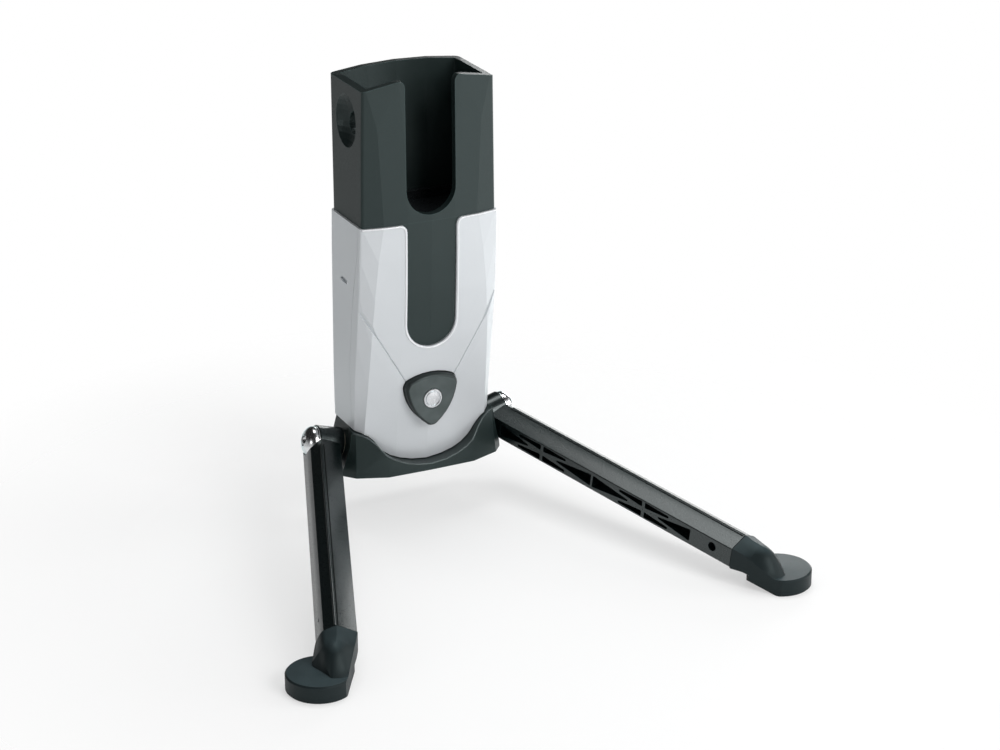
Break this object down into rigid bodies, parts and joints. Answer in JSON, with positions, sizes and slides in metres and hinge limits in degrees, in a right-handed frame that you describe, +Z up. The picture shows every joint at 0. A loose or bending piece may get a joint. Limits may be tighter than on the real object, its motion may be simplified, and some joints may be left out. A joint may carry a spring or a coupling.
{
  "type": "portable bike stand",
  "caption": "Pocket bike stand: a black cradle for a crank arm on a silver body, with a release button and two folding legs with rubber feet.",
  "frame": {"origin": "On the floor, below the middle of the open stand's bounding box, in its plane of symmetry", "axes": "+Z up. The body's silver front, with the button, and both feet face -Y. +X is to the stand's right as seen from the front"},
  "size_m": [0.2748, 0.2014, 0.2358],
  "materials": {
    "black_plastic": "satin moulded, fine grain",
    "silver_plastic": "silver metallic lacquer",
    "black_leg": "semi-gloss, fine grain",
    "soft_rubber": "matte",
    "foot_rubber": "smooth matte",
    "chrome": "polished",
    "steel": "zinc plated",
    "bearing_plastic": "natural, unpainted",
    "dark_badge": "plain satin disc"
  },
  "bodies": {
    "body": {"cradle": "black_plastic", "crank_rest_pad": "soft_rubber", "front_shell": "silver_plastic", "rear_shell": "silver_plastic", "yoke": "black_plastic", "button_spring": "steel", "right_hinge_pin": "chrome", "left_hinge_pin": "chrome", "right_chrome_ring": "chrome", "left_chrome_ring": "chrome", "right_thrust_washer": "bearing_plastic", "left_thrust_washer": "bearing_plastic", "right_pin_nut": "steel", "left_pin_nut": "steel", "yoke_screw_right": "steel", "yoke_screw_left": "steel", "shell_screw_lower_right": "steel", "shell_screw_lower_left": "steel", "shell_screw_upper_right": "steel", "shell_screw_upper_left": "steel"},
    "right_leg": {"right_leg": "black_leg", "right_foot": "foot_rubber", "right_hinge_bush": "bearing_plastic"},
    "left_leg": {"left_leg": "black_leg", "left_foot": "foot_rubber", "left_hinge_bush": "bearing_plastic"},
    "button": {"button_cap": "black_plastic", "button_badge": "dark_badge", "lock_plate": "steel"}
  },
  "joints": [
    {"name": "right_leg_fold", "type": "hinge", "parent": "body", "child": "right_leg", "pos_m": [0.0494, 0.08525, 0.0418], "axis": [-0.964, -0.0326, -0.2639], "range_deg": [0, 103]},
    {"name": "left_leg_fold", "type": "hinge", "parent": "body", "child": "left_leg", "pos_m": [-0.0494, 0.08525, 0.0418], "axis": [-0.964, 0.0326, 0.2639], "range_deg": [0, 103]},
    {"name": "release_button", "type": "slide", "parent": "body", "child": "button", "axis": [0, 0.9903, 0.1392], "range_m": [0, 0.0025], "stiffness_N_per_m": 1200, "springref_m": -0.002, "deforming": ["button_spring"]}
  ]
}
